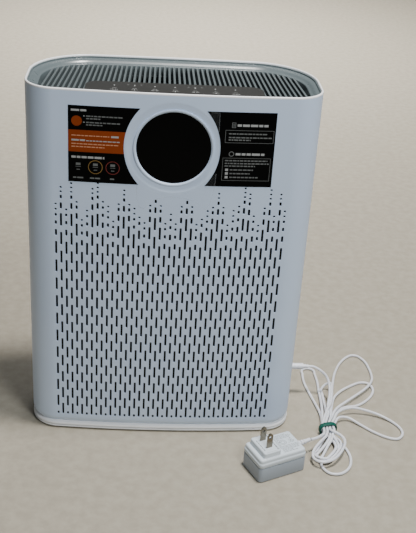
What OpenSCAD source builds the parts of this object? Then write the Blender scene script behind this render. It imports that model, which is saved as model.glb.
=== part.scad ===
// Room air purifier on a mains adapter: slotted front, round display, sunken top grille.
// Frame: origin on the floor under the middle of the body, +Z up, -Y is the front.

/* [Body] */
// Width of the body
body_w = 279; // [270:1:290]
// Depth of the body
body_d = 123; // [118:1:128]
// Height of the rim above the floor
body_h = 376; // [375.5:0.5:378]
// Thickness of the moulded shells
wall = 2.5; // [2:0.1:3]
// Radius of the gently bowed front
front_r = 1400; // [1200:10:1600]
// Radius of the almost flat back
back_r = 2500; // [2000:10:3000]
// Radius of the two front corners
front_corner_r = 30; // [26:1:34]
// Radius of the two rear corners
rear_corner_r = 62; // [58:1:64]
// Where the front and rear shells meet
split_y = 14; // [10:1:18]

/* [Front slots] */
// Distance between slot columns
col_pitch = 5; // [4.8:0.05:5.1]
// Number of slot columns each side of the middle one
side_cols = 22; // [22:1:22]
// Width of a slot
slot_w = 2; // [1.5:0.1:2.1]
// Height of the lowest slot centre
first_row_z = 26; // [24:0.5:28]

/* [Display] */
// Radius of the black window
display_r = 34.9; // [32:0.1:36]
// Height of the display centre
display_z = 323.6; // [320:0.1:326]
// Radius of the shallow dish round the display
dish_r = 45; // [42:0.5:46]

/* [Outlet] */
// Distance between outlet slats
slat_pitch = 4.85; // [4.6:0.05:5.2]
// Thickness of one slat
slat_t = 2; // [1.2:0.1:2.4]
// Top of the slats
slat_z = 369; // [367.5:0.5:369.5]
// Depth of one slat
slat_h = 10; // [8:0.5:11]

/* [Fan] */
// Outer radius of the impeller
fan_r = 48; // [44:0.5:49]
// Radius of the motor shaft
shaft_r = 2; // [1.5:0.1:2.5]
// Number of blades
blades = 9; // [7:1:11]

/* [Filter] */
// Half width of the cartridge
filter_hw = 103; // [98:1:103]
// Height of the cartridge
filter_h = 264; // [255:1:265]
// Pleats on each face
pleats = 24; // [16:1:28]

/* [Power] */
// Height of the power socket
jack_z = 36.5; // [34:0.5:40]
// Radius of the plug's barrel
barrel_r = 1.75; // [1.5:0.05:1.8]
// Diameter of the cord
cord_d = 3; // [2.8:0.1:3.2]
// Length, width and height of the adapter's case
adapter_size = [55.2, 36, 27]; // [20:1:60]
// Distance between the two blades of the mains plug
blade_gap = 12.7; // [12.7:0.1:12.7]

/* [Hidden] */
fine = 96;
soft = 32;
eps = 0.01;

// The plan outline: two long arcs joined by corner arcs that are tangent to them.
half_w = body_w / 2;
half_d = body_d / 2;
front_cx = half_w - front_corner_r;
rear_cx = half_w - rear_corner_r;
front_cy = front_r - half_d - sqrt(pow(front_r - front_corner_r, 2) - pow(front_cx, 2));
rear_cy = half_d - back_r + sqrt(pow(back_r - rear_corner_r, 2) - pow(rear_cx, 2));

// Heights up the body.
foot_h = 2;
plinth_top = 8.6;
shell_z = 9.4;
rim_z = body_h - 1.8;
throat = 11.6;
panel_z = slat_z - 2.6;
panel_y = -30;
deck_z = 292;
deck_t = 3;
window_z0 = 17;
window_z1 = 288;
cover_z0 = 13;
cover_z1 = 288;
cover_hw = 110;
ring_r = display_r + 2.5;

// Slot lengths are in half row pitches; each letter is one shorter piece of a column's top.
row_half = 2 * col_pitch;
full_len = 1.33;
piece_len = [["L", 1.6], ["f", 1.33], ["N", 0.96], ["M", 0.63], ["m", 0.37], ["s", 0.27], ["d", 0.18]];
piece_gap = [["L", 0.6], ["f", 0.55], ["N", 0.65], ["M", 0.65], ["m", 0.55], ["s", 0.5], ["d", 0.36]];
// Last full row of each column, and its tapering top, from the middle column outward.
last_row = [19, 18, 21, 22, 21, 18, 19, 18, 21, 22, 21, 18, 19, 20, 19, 22, 19, 18, 21, 22, 19, 22, 19];
tail = [
    "Mmsd", "Mmsd", "Mmd", "Mm", "Mmd", "Mmsd", "Nmd", "Lmsdd", "Mmd", "Mmdd", "Mmd", "Mmsd",
    "Mmsdd", "Mmsd", "MfMmddd", "Mmdd", "Mmsd", "Mmsd", "Mmd", "Mmddd", "Mmsd", "Mmdd", "Mmsdd"
];

// Screws that join the shells.
screw_x = 126;
screw_z = [24, 180, 330];

// Filter cartridge.
filter_z = 14;
filter_y0 = -48;
filter_y1 = 43;
pleat_d = 22;

// Power cord: the free stretches are hand-placed points, and the rest lies in the hank.
plug_y = 18.5;
grip_r = 3.5;
grip_x0 = 134;
grip_x1 = 160.5;
relief_end = 167;
lead_points = [
    [167, 18.5, 36.5], [170, 18.5, 36.5], [174, 18, 36], [181, 16, 33], [188, 14, 27], [191.5, 8, 20],
    [191, -3, 14], [188, -18, 11], [184, -36, 10], [180, -50, 9.5]
];
adapter_points = [
    [155.6, -90.8, 16], [159, -88.8, 16], [163.5, -85.5, 15], [169, -79, 12.5], [173.5, -72.5, 10.5],
    [175.5, -66, 9.6]
];
adapter_pos = [115.6, -116.3, 0];
adapter_turn = 25.2;
tie_pos = [181, -58, 6.6];

module plan(i = 0, arc = 720, corner = fine) {
    // The outline drawn i inside the outer skin; each arc runs to where it meets its neighbour.
    front_xt = front_cx * (front_r - i) / (front_r - front_corner_r);
    rear_xt = rear_cx * (back_r - i) / (back_r - rear_corner_r);
    intersection() {
        translate([0, front_r - half_d]) circle(r = front_r - i, $fn = arc);
        translate([-front_xt, -half_d - 1]) square([2 * front_xt, half_d + 1 + rear_cy]);
    }
    intersection() {
        translate([0, half_d - back_r]) circle(r = back_r - i, $fn = 2 * arc);
        translate([-rear_xt, front_cy]) square([2 * rear_xt, half_d + 1 - front_cy]);
    }
    translate([i - half_w, front_cy]) square([body_w - 2 * i, rear_cy - front_cy]);
    for (s = [-1, 1]) {
        translate([s * front_cx, front_cy]) circle(r = front_corner_r - i, $fn = corner);
        intersection() {
            translate([s * rear_cx, rear_cy]) circle(r = rear_corner_r - i, $fn = corner);
            translate([-half_w, rear_cy - 1]) square([body_w, half_d + 1]);
        }
    }
}

module band(i0, i1, z0, z1) {
    translate([0, 0, z0]) linear_extrude(z1 - z0) difference() {
        plan(i0);
        plan(i1);
    }
}

module slab(i, z0, z1) {
    translate([0, 0, z0]) linear_extrude(z1 - z0) plan(i);
}

module wafer(i, z) {
    // A thin, coarser slab for hulls.
    translate([0, 0, z]) linear_extrude(0.5) plan(i, 360, soft);
}

module across(y0, y1) {
    // A 2D shape in x and z, swept from y0 to y1.
    translate([0, y1, 0]) rotate([90, 0, 0]) linear_extrude(y1 - y0) children();
}

module box(lo, hi) {
    translate(lo) cube(hi - lo);
}

module rounded(w, d, r) {
    // A rectangle with round corners, centred.
    square([w - 2 * r, d], center = true);
    square([w, d - 2 * r], center = true);
    for (x = [-1, 1], y = [-1, 1])
        translate([x * (w / 2 - r), y * (d / 2 - r)]) circle(r = r, $fn = soft);
}

module grille_outline(grow = 0) {
    difference() {
        translate([-113 - grow, window_z0 - grow])
            square([226 + 2 * grow, window_z1 - window_z0 + 2 * grow]);
        translate([0, display_z]) circle(r = dish_r + 3 - grow, $fn = fine);
    }
}

function pick(table, key) = [for (e = table) if (e[0] == key) e[1]][0];

// Each tail piece is [centre, length], stacked on the piece below it.
function stack(word, at, tight, k = 0) =
    k == len(word) ? [] :
    let (
        size = pick(piece_len, word[k]),
        gap = pick(piece_gap, word[k]) * (tight ? 0.75 : 1)
    )
    concat(
        [[at + gap + size / 2, size]],
        stack(word, at + gap + size, tight || word[k] == "f", k + 1)
    );

// Every slot of one column: [centre, length] in half rows.
function column(c) =
    let (k = abs(c), last = last_row[k], odd = k % 2)
    concat(
        odd == 1 ? [] : [[-0.54, 0.3]],
        [for (v = [1 - odd : 2 : last]) [v, full_len]],
        stack(tail[k], last + full_len / 2, last > 20)
    );

module slot_tools(y0, y1) {
    for (c = [-side_cols : side_cols], s = column(c)) {
        z = first_row_z + s[0] * row_half;
        h = s[1] * row_half;
        box([c * col_pitch - slot_w / 2, y0, z - h / 2], [c * col_pitch + slot_w / 2, y1, z + h / 2]);
    }
}

// ---- Body ----

module base_plinth() color("white") difference() {
    union() {
        // Two flush bands with a groove between them, and a soft shoulder.
        slab(0.6, foot_h, 3.6);
        slab(1.4, 3.6 - eps, 4.2);
        slab(0, 4.2 - eps, 7);
        slab(0.5, 7 - eps, 7.9);
        slab(1.4, 7.9 - eps, plinth_top);
        slab(wall, plinth_top - eps, 12.5);
        // Rails that carry the filter.
        for (s = [-1, 1]) box([s * 80 - 2, -48, 4], [s * 80 + 2, 42, 13.7]);
    }
    difference() {
        slab(wall + 2.5, 5, 13);
        for (s = [-1, 1]) box([s * 80 - 2, -48, 4], [s * 80 + 2, 42, 13.7]);
    }
    for (x = [-1, 1], y = [-1, 1]) translate([x * 95, y * 38, -1]) cylinder(r = 2, h = 12, $fn = fine);
}

module rubber_feet() color("dimgray")
    for (x = [-1, 1], y = [-1, 1])
        translate([x * 95, y * 38, 0]) {
            cylinder(r = 8, h = foot_h, $fn = fine);
            translate([0, 0, foot_h - eps]) cylinder(r = 1.95, h = 3.5, $fn = fine);
        }

module boss(y0, y1, rib0, rib1) {
    // Screw bosses on ribs along both side walls.
    for (s = [-1, 1], z = screw_z) {
        translate([s * screw_x, y0, z]) rotate([-90, 0, 0]) cylinder(r = 3.5, h = y1 - y0, $fn = fine);
        translate([s > 0 ? screw_x : -half_w + 1, rib0, z - 1]) cube([half_w - 1 - screw_x, rib1 - rib0, 2]);
    }
}

module front_shell() color("lavender") difference() {
    union() {
        difference() {
            band(0, wall, shell_z, rim_z);
            box([-200, split_y, 0], [200, 100, 400]);
        }
        boss(-8, split_y, -8, split_y - 7);
    }
    for (s = [-1, 1], z = screw_z)
        translate([s * screw_x, split_y - 10, z]) rotate([-90, 0, 0]) cylinder(r = 1.5, h = 20, $fn = fine);
    across(-half_d - 5, -40) grille_outline();
    // Seat of the display ring, in a shallow dish.
    translate([0, -half_d - 5, display_z]) rotate([-90, 0, 0]) cylinder(r = ring_r, h = 20, $fn = fine);
    translate([0, -half_d, display_z]) rotate([-90, 0, 0]) cylinder(r1 = dish_r, r2 = ring_r, h = 0.8, $fn = fine);
}

module front_grille() color("lavender") difference() {
    intersection() {
        band(0, wall, shell_z, rim_z);
        across(-half_d - 5, -40) grille_outline();
    }
    slot_tools(-half_d - 5, -45);
}

module inlet_mesh() color("black") intersection() {
    band(wall + 0.3, wall + 1, 14, 290);
    across(-half_d, -40) difference() {
        translate([-116, 14]) square([232, 272]);
        translate([0, display_z]) circle(r = dish_r + 2, $fn = fine);
    }
}

module rear_shell() color("white") difference() {
    union() {
        difference() {
            band(0, wall, shell_z, rim_z);
            box([-200, -100, 0], [200, split_y, 400]);
        }
        // Tongue that the front shell slips over.
        intersection() {
            band(wall, wall + 1.5, shell_z + 4, rim_z - 5);
            box([-200, split_y - 6, 0], [200, split_y + 4, 400]);
        }
        intersection() {
            boss(split_y, split_y + 8, split_y + 2, split_y + 8);
            slab(1, shell_z, rim_z);
        }
    }
    for (s = [-1, 1], z = screw_z)
        translate([s * screw_x, split_y - 1, z]) rotate([-90, 0, 0]) cylinder(r = 1.6, h = 20, $fn = fine);
    across(20, 100) translate([-cover_hw, cover_z0]) square([2 * cover_hw, cover_z1 - cover_z0]);
    translate([110, plug_y, jack_z]) rotate([0, 90, 0]) cylinder(r = 8.5, h = 60, $fn = fine);
    // Breathing holes of the air sensor.
    for (k = [0 : 5]) translate([-160, 32, 306 + 4 * k]) rotate([0, 90, 0]) cylinder(r = 1, h = 60, $fn = soft);
}

module shell_screws() color("silver")
    for (s = [-1, 1], z = screw_z)
        translate([s * screw_x, split_y - 9, z]) rotate([-90, 0, 0]) {
            cylinder(r = 1.5, h = 17.2, $fn = fine);
            translate([0, 0, 17]) cylinder(r = 3, h = 1.8, $fn = fine);
        }

module top_rim() color("white") {
    band(0, 2.2, rim_z, rim_z + 1.2);
    band(0.4, 1.8, rim_z + 1.2 - eps, body_h);
    // Skirt that plugs into both shells.
    band(wall, wall + 0.6, rim_z - 5, rim_z + 0.4);
    band(2.1, wall + 0.1, rim_z + eps, rim_z + 0.4);
}

module panel_seat(grow, z0) {
    translate([0, panel_y, z0]) linear_extrude(20) rounded(168 + 2 * grow, 43 + 2 * grow, 12 + grow);
}

module outlet_bowl() color("slategray") {
    difference() {
        hull() {
            wafer(3.2, rim_z - 1.8);
            wafer(9.8, slat_z - 16);
        }
        // A sloping ledge, then a straight throat.
        hull() {
            wafer(4, rim_z - 1.6);
            wafer(throat - 0.1, slat_z);
        }
        translate([0, 0, slat_z - 20]) linear_extrude(21) plan(throat - 0.4, 360, soft);
        panel_seat(0.3, panel_z - 0.3);
        // Clear of the display behind the front wall.
        box([-42, -80, slat_z - 24], [42, 9.8 - half_d, slat_z - 6.5]);
    }
    // Shelf that the slats rest on.
    band(throat - 0.9, throat + 1.8, slat_z - slat_h - 4.4, slat_z - slat_h - 2);
    // Legs down to the fan deck.
    for (s = [-1, 1], p = [[60, 49.3], [118.5, -43]])
        translate([s * p[0], p[1], deck_z + deck_t]) cylinder(r = 2.5, h = slat_z - 14 - deck_z - deck_t, $fn = soft);
}

module outlet_slats() color("darkslategray") {
    slats = floor(124 / slat_pitch);
    difference() {
        intersection() {
            slab(throat, slat_z - slat_h, slat_z);
            for (k = [-slats : slats])
                translate([k * slat_pitch, 0, 0])
                    rotate([0, 0, 0.042 * k * slat_pitch])
                        box([-slat_t / 2, -80, slat_z - slat_h], [slat_t / 2, 80, slat_z]);
        }
        // The control panel lies in a step in them.
        panel_seat(0.3, panel_z);
    }
    intersection() {
        slab(throat, slat_z - slat_h - 2, slat_z - slat_h + eps);
        union() {
            for (y = [-20, 18]) box([-140, y - 1.5, 300], [140, y + 1.5, 400]);
            band(throat, throat + 2, 340, 370);
        }
    }
}

module airflow_guide() color("gray") difference() {
    translate([0, -14, 0]) union() {
        translate([0, 10.5, 347]) linear_extrude(2) rounded(176, 93, 20);
        translate([0, 0, 341]) linear_extrude(6.1) difference() {
            rounded(176, 72, 20);
            rounded(173, 69, 18.5);
        }
    }
    for (k = [-8 : 8], y = [[-22, 4], [10, 36]])
        translate([10 * k, 0, 330]) box([-3, y[0], 0], [3, y[1], 30]);
}

// ---- Controls and display ----

module control_panel() color("#3a3936") difference() {
    translate([0, panel_y, panel_z]) linear_extrude(3) rounded(168, 43, 12);
    translate([0, panel_y, panel_z - 1]) linear_extrude(2.4) rounded(163, 38, 9.5);
}

module touch_icons() color("white") {
    for (k = [-3 : 3]) translate([19 * k, panel_y - 1, panel_z + 3]) {
        linear_extrude(0.15) difference() {
            circle(r = 3, $fn = soft);
            circle(r = 2.4, $fn = soft);
        }
        translate([0, 11, 0]) cylinder(r = 0.9, h = 0.15, $fn = soft);
    }
}

module control_board() color("darkgreen")
    translate([0, panel_y, panel_z + 0.1]) difference() {
        linear_extrude(1.3) square([156, 32], center = true);
        for (x = [-1, 1], y = [-1, 1]) translate([x * 73, y * 12, -1]) cylinder(r = 1.2, h = 4, $fn = soft);
    }

module display_ring() color("lavender")
    translate([0, -half_d, display_z]) rotate([-90, 0, 0]) difference() {
        cylinder(r = ring_r, h = 8, $fn = fine);
        translate([0, 0, -1]) cylinder(r = display_r + 0.02, h = 5, $fn = fine);
        translate([0, 0, -1]) cylinder(r = display_r - 2, h = 20, $fn = fine);
        // Bevelled mouth.
        translate([0, 0, -0.2]) cylinder(r1 = display_r + 1.5, r2 = display_r, h = 1.4, $fn = fine);
    }

module display_window() color("black")
    translate([0, -half_d + 1.2, display_z]) rotate([-90, 0, 0]) cylinder(r = display_r, h = 2.8, $fn = fine);

module display_board() color("darkgreen")
    translate([0, -half_d + 8, display_z]) rotate([-90, 0, 0]) {
        cylinder(r = 36, h = 1.6, $fn = fine);
        translate([-12, -8, 1.6 - eps]) cube([24, 16, 2]);
    }

module label(x0, x1, z0, mid, r) {
    // A skin on the front, cut back in an arc beside the display.
    intersection() {
        band(-0.2, 0, 270, 370);
        across(-half_d - 5, -40) difference() {
            translate([x0, z0]) square([x1 - x0, 361 - z0]);
            translate([mid, display_z]) circle(r = r, $fn = fine);
        }
    }
}

module left_label() color("black") label(-97.5, -20, 286.5, 9, 55.3);

module right_label() color("black") label(20, 94, 287.5, -13, 56.4);

// ---- Fan ----

fan_y = 4.5;

module fan_deck() color("gainsboro") difference() {
    union() {
        slab(wall, deck_z, deck_z + deck_t);
        // Collar that meets the filter's seal.
        difference() {
            box([-92, -28, filter_z + filter_h + 3.3], [92, 23, deck_z + 1]);
            box([-84, -20, 0], [84, 15, deck_z]);
        }
    }
    translate([0, fan_y, deck_z - 1]) cylinder(r = fan_r - 3, h = 10, $fn = fine);
    // Clear of the display behind the front wall.
    box([-50, -80, 280], [50, -half_d + 11, 300]);
    // Clear of the tongue along the shells' joint.
    difference() {
        box([-200, split_y - 7, 280], [200, split_y + 5, 300]);
        slab(wall + 1.6, 270, 310);
    }
}

module fan_duct() color("gray") translate([0, fan_y, deck_z + deck_t]) difference() {
    cylinder(r = fan_r + 3.5, h = 46, $fn = fine);
    translate([0, 0, -1]) cylinder(r = fan_r + 1.5, h = 60, $fn = fine);
}

module motor_mount() color("gray") translate([0, fan_y, deck_z + deck_t + 40]) {
    linear_extrude(3) difference() {
        union() {
            circle(r = 20, $fn = fine);
            for (a = [0 : 60 : 300]) rotate(a + 30) translate([0, -1.5]) square([fan_r + 1.4, 3]);
        }
        circle(r = 5, $fn = fine);
    }
}

module motor() color("silver") translate([0, fan_y, deck_z + deck_t + 24]) difference() {
    cylinder(r = 15, h = 16, $fn = fine);
    translate([0, 0, -1]) cylinder(r = shaft_r + 0.04, h = 20, $fn = fine);
}

module motor_shaft() color("silver")
    translate([0, fan_y, deck_z + deck_t + 10]) cylinder(r = shaft_r, h = 31, $fn = fine);

module impeller() color("dimgray") translate([0, fan_y, deck_z + deck_t + 5]) {
    difference() {
        union() {
            cylinder(r = 19, h = 26, $fn = fine);
            intersection() {
                cylinder(r = fan_r, h = 24, $fn = fine);
                for (a = [0 : 360 / blades : 359]) rotate([0, 0, a])
                    translate([33, 0, 12]) rotate([38, 0, 0]) cube([34, 2, 26], center = true);
            }
        }
        translate([0, 0, 4]) cylinder(r = 17, h = 40, $fn = fine);
        translate([0, 0, -1]) cylinder(r = shaft_r, h = 40, $fn = fine);
    }
    difference() {
        cylinder(r = 5, h = 12, $fn = fine);
        translate([0, 0, -1]) cylinder(r = shaft_r, h = 20, $fn = fine);
    }
}

module main_board() color("darkgreen") {
    box([-122, -36, deck_z + deck_t + 4], [-62, 20, deck_z + deck_t + 5.6]);
    for (x = [-117, -67], y = [-31, 15])
        translate([x, y, deck_z + deck_t]) cylinder(r = 2.5, h = 4.2, $fn = soft);
    box([-110, -20, deck_z + deck_t + 5.5], [-94, -4, deck_z + deck_t + 17]);
}

module air_sensor() color("gray") difference() {
    box([-118, 26, deck_z + deck_t], [-90, 38, 334]);
    for (k = [0 : 5]) translate([-120, 32, 306 + 4 * k]) rotate([0, 90, 0]) cylinder(r = 1, h = 10, $fn = soft);
}

// ---- Rear cover and filter ----

module rear_cover() color("white") {
    difference() {
        intersection() {
            band(0, wall, cover_z0, cover_z1);
            box([0.5 - cover_hw, 20, cover_z0 + 0.5], [cover_hw - 0.5, 100, cover_z1 - 0.5]);
        }
        for (c = [-10 : 10], r = [0 : 5])
            box([8 * c - 1.5, 20, 24 + 42 * r], [8 * c + 1.5, 100, 58 + 42 * r]);
        for (s = [-1, 1]) box([s * 60 - 13, half_d - 9, 266], [s * 60 + 13, half_d + 1, cover_z1]);
    }
    // Pockets that hold the latches.
    for (s = [-1, 1]) difference() {
        box([s * 60 - 14.5, half_d - 10, 263], [s * 60 + 14.5, half_d - wall, cover_z1 - 0.6]);
        box([s * 60 - 12.5, half_d - 8, 266], [s * 60 + 12.5, half_d, cover_z1]);
    }
}

module latch() difference() {
    union() {
        box([-12, -7.6, 269.5], [12, -1, 284]);
        box([-5.5, -7.6, 283.9], [5.5, -4.5, cover_z1 - 0.8]);
    }
    translate([0, 0, 273.5]) rotate([0, 90, 0]) cylinder(r = 3, h = 18, center = true, $fn = fine);
}

module left_latch() color("lightgray") translate([-60, half_d, 0]) latch();

module right_latch() color("lightgray") translate([60, half_d, 0]) latch();

module filter_frame() color("whitesmoke") difference() {
    box([-filter_hw, filter_y0, filter_z], [filter_hw, filter_y1, filter_z + filter_h]);
    for (y = [[filter_y0 - 1, filter_y0 + pleat_d + 1], [filter_y1 - pleat_d - 1, filter_y1 + 1]])
        box([4 - filter_hw, y[0], filter_z + 4], [filter_hw - 4, y[1], filter_z + filter_h - 4]);
    // Hollow core, open at the top into the fan deck.
    box([4 - filter_hw, filter_y0 + pleat_d, filter_z + 4], [filter_hw - 4, filter_y1 - pleat_d, filter_z + filter_h + 1]);
}

module pleat_pack(y0) {
    // A zigzag of folded paper, with its folds running up and down.
    run = 2 * (filter_hw - 4.2) / pleats;
    left = 4.2 - filter_hw;
    thick = 1.4;
    front = [for (k = [0 : 2 * pleats]) [left + k * run / 2, y0 + (k % 2) * (pleat_d - 2 - thick)]];
    back = [for (k = [2 * pleats : -1 : 0]) [left + k * run / 2, y0 + thick + (k % 2) * (pleat_d - 2 - thick)]];
    translate([0, 0, filter_z + 4]) linear_extrude(filter_h - 8) polygon(concat(front, back));
}

module front_pleats() color("ivory") pleat_pack(filter_y0 + 0.5);

module rear_pleats() color("ivory") pleat_pack(filter_y1 - pleat_d + 1);

module filter_seal() color("black") difference() {
    box([-90, -26, filter_z + filter_h - 6], [90, 21, filter_z + filter_h + 3]);
    box([-86, -22, 200], [86, 17, 300]);
    box([-98, -30, 200], [98, 24, filter_z + filter_h - 6 + eps]);
}

module filter_tab() color("royalblue")
    box([-12, filter_y1 - 0.02, 150], [12, filter_y1 + 1, 175]);

// ---- Power socket, cord and adapter ----

module power_jack() color("dimgray")
    translate([112, plug_y, jack_z]) rotate([0, 90, 0]) difference() {
        union() {
            cylinder(r = 8.5, h = 20, $fn = fine);
            cylinder(r = 11, h = 8, $fn = fine);
        }
        translate([0, 0, 10]) cylinder(r = barrel_r + 0.05, h = 20, $fn = fine);
        translate([0, 0, 18]) cylinder(r = 6, h = 10, $fn = fine);
    }

module plug_barrel() color("silver")
    translate([124, plug_y, jack_z]) rotate([0, 90, 0]) difference() {
        cylinder(r = barrel_r, h = grip_x0 - 124, $fn = fine);
        translate([0, 0, -1]) cylinder(r = 0.7, h = 8, $fn = soft);
    }

module plug_grip() color("white") translate([grip_x0, plug_y, jack_z]) rotate([0, 90, 0]) {
    cylinder(r = grip_r, h = grip_x1 - grip_x0, $fn = fine);
    for (k = [0 : 2]) translate([0, 0, grip_x1 - grip_x0 + 2.2 * k]) cylinder(r = 2.7 - 0.3 * k, h = 1.3, $fn = fine);
    translate([0, 0, grip_x1 - grip_x0 - 1]) cylinder(r = 1.9, h = relief_end - grip_x1 + 1, $fn = fine);
}

function unit(v) = v / norm(v);

// Catmull-Rom points along a hand-placed route.
function route(p, steps = 4) = concat(
    [for (i = [0 : len(p) - 2], s = [0 : steps - 1])
        let (a = p[max(i - 1, 0)], b = p[i], c = p[i + 1], d = p[min(i + 2, len(p) - 1)], t = s / steps)
        0.5 * (2 * b + (c - a) * t + (2 * a - 5 * b + 4 * c - d) * t * t
            + (3 * b - a - 3 * c + d) * t * t * t)],
    [p[len(p) - 1]]
);

module tube(points, d, sides = 8) {
    // A closed tube round a route, one ring of corners per route point.
    p = route(points);
    n = len(p);
    ring = [for (i = [0 : n - 1])
        let (
            along = unit(p[min(i + 1, n - 1)] - p[max(i - 1, 0)]),
            side = unit(cross(along, [0, 0, 1])),
            up = cross(side, along)
        )
        for (k = [0 : sides - 1]) p[i] + d / 2 * (cos(360 * k / sides) * side + sin(360 * k / sides) * up)];
    walls = [for (i = [0 : n - 2], k = [0 : sides - 1])
        [i * sides + k, i * sides + (k + 1) % sides, (i + 1) * sides + (k + 1) % sides, (i + 1) * sides + k]];
    first = [for (k = [sides - 1 : -1 : 0]) k];
    last = [for (k = [0 : sides - 1]) (n - 1) * sides + k];
    polyhedron(ring, concat(walls, [first, last]), convexity = 6);
}

module cord_lead() color("white") tube(lead_points, cord_d);

module adapter_lead() color("white") tube(adapter_points, cord_d);

module petal(a, ra, b, rb) hull() {
    // A tapering strip with round ends.
    translate(a) circle(r = ra, $fn = soft);
    translate(b) circle(r = rb, $fn = soft);
}

module cord_hank() color("white") {
    // The waist that the tie grips, and the turns below it.
    translate([0, 0, 1.4]) linear_extrude(10.4) petal([181, -84], 9.4, [181, -44], 9.4);
    linear_extrude(11.4) petal([179, -81], 9.4, [173, -105], 14.5);
    linear_extrude(7.9) {
        petal([187, -46], 8, [230, 77], 23);
        petal([190, -44], 8, [234, 20], 16);
        petal([192, -46], 8, [248, -49], 19);
        petal([177, -46], 6, [176, 60], 10);
        petal([191, -80], 8, [182, -114], 16.5);
    }
}

module twist_tie() color("seagreen") translate(tie_pos) rotate([90, 0, 0])
    translate([0, 0, -2.5]) linear_extrude(5) difference() {
        rounded(22, 13.2, 3);
        rounded(19.4, 10.8, 0.8);
    }

module on_adapter() translate(adapter_pos) rotate([0, 0, adapter_turn]) children();

adapter_seam = 17;
boss_h = 6;

module adapter_lower() color("white") on_adapter()
    translate([0, 0, 0]) linear_extrude(adapter_seam) rounded(adapter_size[0], adapter_size[1], 4);

module adapter_upper() color("white") on_adapter() {
    translate([0, 0, adapter_seam + 0.8]) linear_extrude(adapter_size[2] - adapter_seam - 0.8)
        rounded(adapter_size[0], adapter_size[1], 4);
    translate([0, 0, adapter_seam]) linear_extrude(0.9) rounded(adapter_size[0] - 1.6, adapter_size[1] - 1.6, 3.4);
    translate([-12, 0, adapter_size[2] - eps]) linear_extrude(boss_h) rounded(20, 30, 2.5);
}

module adapter_blades() color("silver") on_adapter()
    for (s = [-1, 1]) difference() {
        translate([-12, s * blade_gap / 2, adapter_size[2] + boss_h]) union() {
            box([-3.17, -0.75, 0], [3.17, 0.75, 14.5]);
            translate([0, 0.75, 14.5]) rotate([90, 0, 0]) cylinder(r = 2.2, h = 1.5, $fn = soft);
        }
        translate([-12, s * blade_gap / 2 + 5, adapter_size[2] + boss_h + 12.2]) rotate([90, 0, 0])
            cylinder(r = 1.5, h = 10, $fn = soft);
    }

module adapter_relief() color("white") on_adapter()
    translate([adapter_size[0] / 2, 4, 16]) rotate([0, 90, 6]) {
        for (k = [0 : 3]) translate([0, 0, 3.6 * k]) cylinder(r = 3.6 - 0.35 * k, h = 2.4, $fn = soft);
        cylinder(r = 2, h = 19.5, $fn = soft);
    }

base_plinth();
rubber_feet();
front_shell();
front_grille();
inlet_mesh();
rear_shell();
shell_screws();
top_rim();
outlet_bowl();
outlet_slats();
airflow_guide();
control_panel();
touch_icons();
control_board();
display_ring();
display_window();
display_board();
left_label();
right_label();
fan_deck();
fan_duct();
motor_mount();
motor();
motor_shaft();
impeller();
main_board();
air_sensor();
rear_cover();
left_latch();
right_latch();
filter_frame();
front_pleats();
rear_pleats();
filter_seal();
filter_tab();
power_jack();
plug_barrel();
plug_grip();
cord_lead();
cord_hank();
twist_tie();
adapter_lead();
adapter_relief();
adapter_lower();
adapter_upper();
adapter_blades();
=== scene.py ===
# Room air purifier on a mains adapter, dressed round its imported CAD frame.
import bpy
import bmesh
import math
import numpy as np
import mathutils
from mathutils import Vector, Matrix


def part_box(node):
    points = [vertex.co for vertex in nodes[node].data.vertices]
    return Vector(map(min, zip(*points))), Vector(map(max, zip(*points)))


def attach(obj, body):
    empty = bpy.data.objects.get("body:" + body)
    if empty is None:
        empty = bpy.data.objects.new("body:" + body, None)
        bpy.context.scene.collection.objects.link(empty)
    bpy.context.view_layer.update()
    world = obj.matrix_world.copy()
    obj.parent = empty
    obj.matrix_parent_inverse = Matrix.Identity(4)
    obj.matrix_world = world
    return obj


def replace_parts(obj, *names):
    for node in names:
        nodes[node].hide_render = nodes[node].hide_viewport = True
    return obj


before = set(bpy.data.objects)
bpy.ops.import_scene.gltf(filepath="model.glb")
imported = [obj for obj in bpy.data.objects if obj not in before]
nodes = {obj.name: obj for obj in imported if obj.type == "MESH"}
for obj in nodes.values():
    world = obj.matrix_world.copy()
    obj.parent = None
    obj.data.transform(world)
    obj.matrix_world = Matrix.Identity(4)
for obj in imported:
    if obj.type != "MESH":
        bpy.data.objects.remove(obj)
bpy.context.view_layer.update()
MM = 0.001


# ---- Camera ----

def make_camera():
    yaw, pitch, roll = math.radians(4.3228), math.radians(27.2205), math.radians(3.7083)
    forward = Vector((math.sin(yaw) * math.cos(pitch), math.cos(yaw) * math.cos(pitch), -math.sin(pitch)))
    right = Vector((math.cos(yaw), -math.sin(yaw), 0))
    up = right.cross(forward)
    right2 = math.cos(roll) * right + math.sin(roll) * up
    up2 = -math.sin(roll) * right + math.cos(roll) * up
    data = bpy.data.cameras.new("camera")
    data.sensor_fit = "HORIZONTAL"
    data.sensor_width = 36.0
    data.lens = 84.986
    data.clip_start, data.clip_end = 0.05, 20
    cam = bpy.data.objects.new("camera", data)
    turn = Matrix((right2, up2, -forward)).transposed()
    cam.matrix_world = Matrix.Translation((-0.0261, -0.9195, 0.6448)) @ turn.to_4x4()
    bpy.context.scene.collection.objects.link(cam)
    bpy.context.scene.camera = cam


make_camera()


# ---- Helpers ----

def link(name, mesh):
    obj = bpy.data.objects.new(name, mesh)
    bpy.context.scene.collection.objects.link(obj)
    return obj


def smooth_route(points, steps):
    """Catmull-Rom points through a given route."""
    p = [np.array(q, float) for q in points]
    out = []
    for i in range(len(p) - 1):
        a, b, c, d = p[max(i - 1, 0)], p[i], p[i + 1], p[min(i + 2, len(p) - 1)]
        for k in range(steps):
            t = k / steps
            out.append(0.5 * (2 * b + (c - a) * t + (2 * a - 5 * b + 4 * c - d) * t * t
                              + (3 * b - a - 3 * c + d) * t ** 3))
    out.append(p[-1])
    return np.array(out)


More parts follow.
